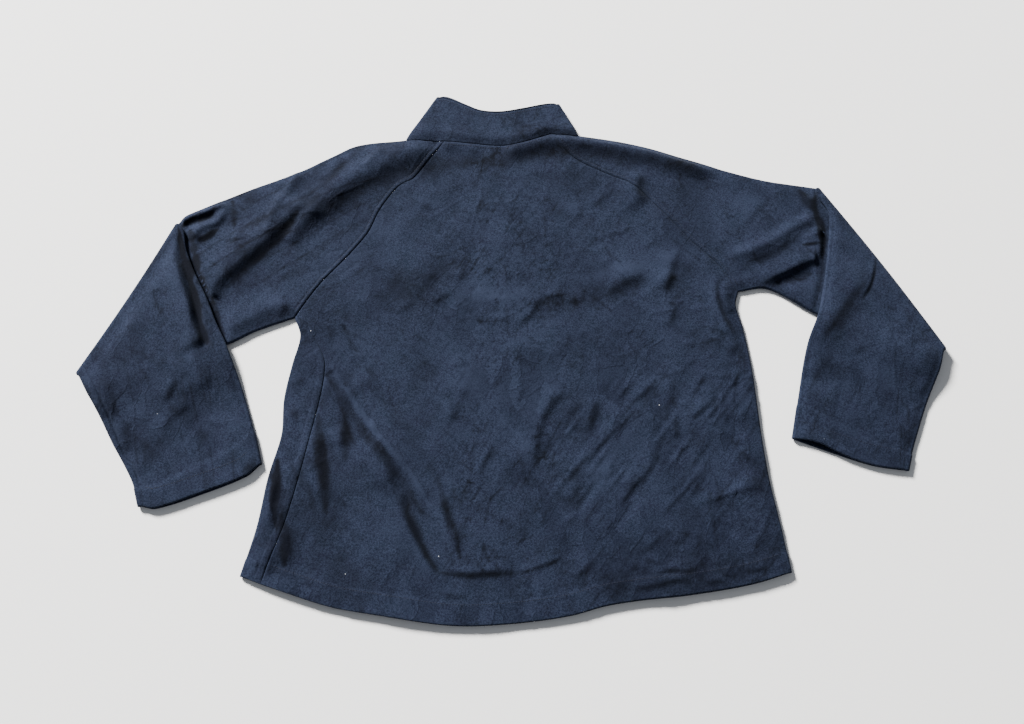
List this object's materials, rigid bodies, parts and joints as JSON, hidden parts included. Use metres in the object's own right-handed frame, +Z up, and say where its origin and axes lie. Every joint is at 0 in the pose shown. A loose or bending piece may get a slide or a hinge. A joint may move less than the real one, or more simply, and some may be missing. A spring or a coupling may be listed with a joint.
{
  "type": "quarter-zip pullover",
  "caption": "Fleece pullover with raglan sleeves, stand-up collar and a short front zip, laid flat with its back upward and both forearms folded over the upper arms.",
  "frame": {"origin": "centre of the bounding box in plan, on the surface that the pullover lies on", "axes": "+X from the sleeve on the seen left to the one on the right, +Y from the hem to the collar, +Z up, through the layers of cloth"},
  "size_m": [1.1727, 0.7648, 0.0215],
  "materials": {
    "fleece": "matt brushed pile, dark navy",
    "zip_tape": "woven polyester tape, dark navy",
    "zip_plastic": "moulded teeth, satin",
    "zip_metal": "dark painted, satin"
  },
  "bodies": {
    "garment": {"back_panel": "fleece", "front_panel": "fleece", "sleeve_left": "fleece", "sleeve_right": "fleece", "collar": "fleece", "zip_tape_left": "zip_tape", "zip_tape_right": "zip_tape", "zip_chain_left": "zip_plastic", "zip_chain_right": "zip_plastic", "zip_bottom_stop": "zip_metal", "zip_slider": "zip_metal"},
    "pull_tab": {"zip_pull_tab": "zip_metal"}
  },
  "joints": [
    {"name": "pull_tab_hinge", "type": "hinge", "parent": "garment", "child": "pull_tab", "pos_m": [-0.025, 0.302, 0.0018], "axis": [1, 0, 0], "range_deg": [0, 170]}
  ]
}
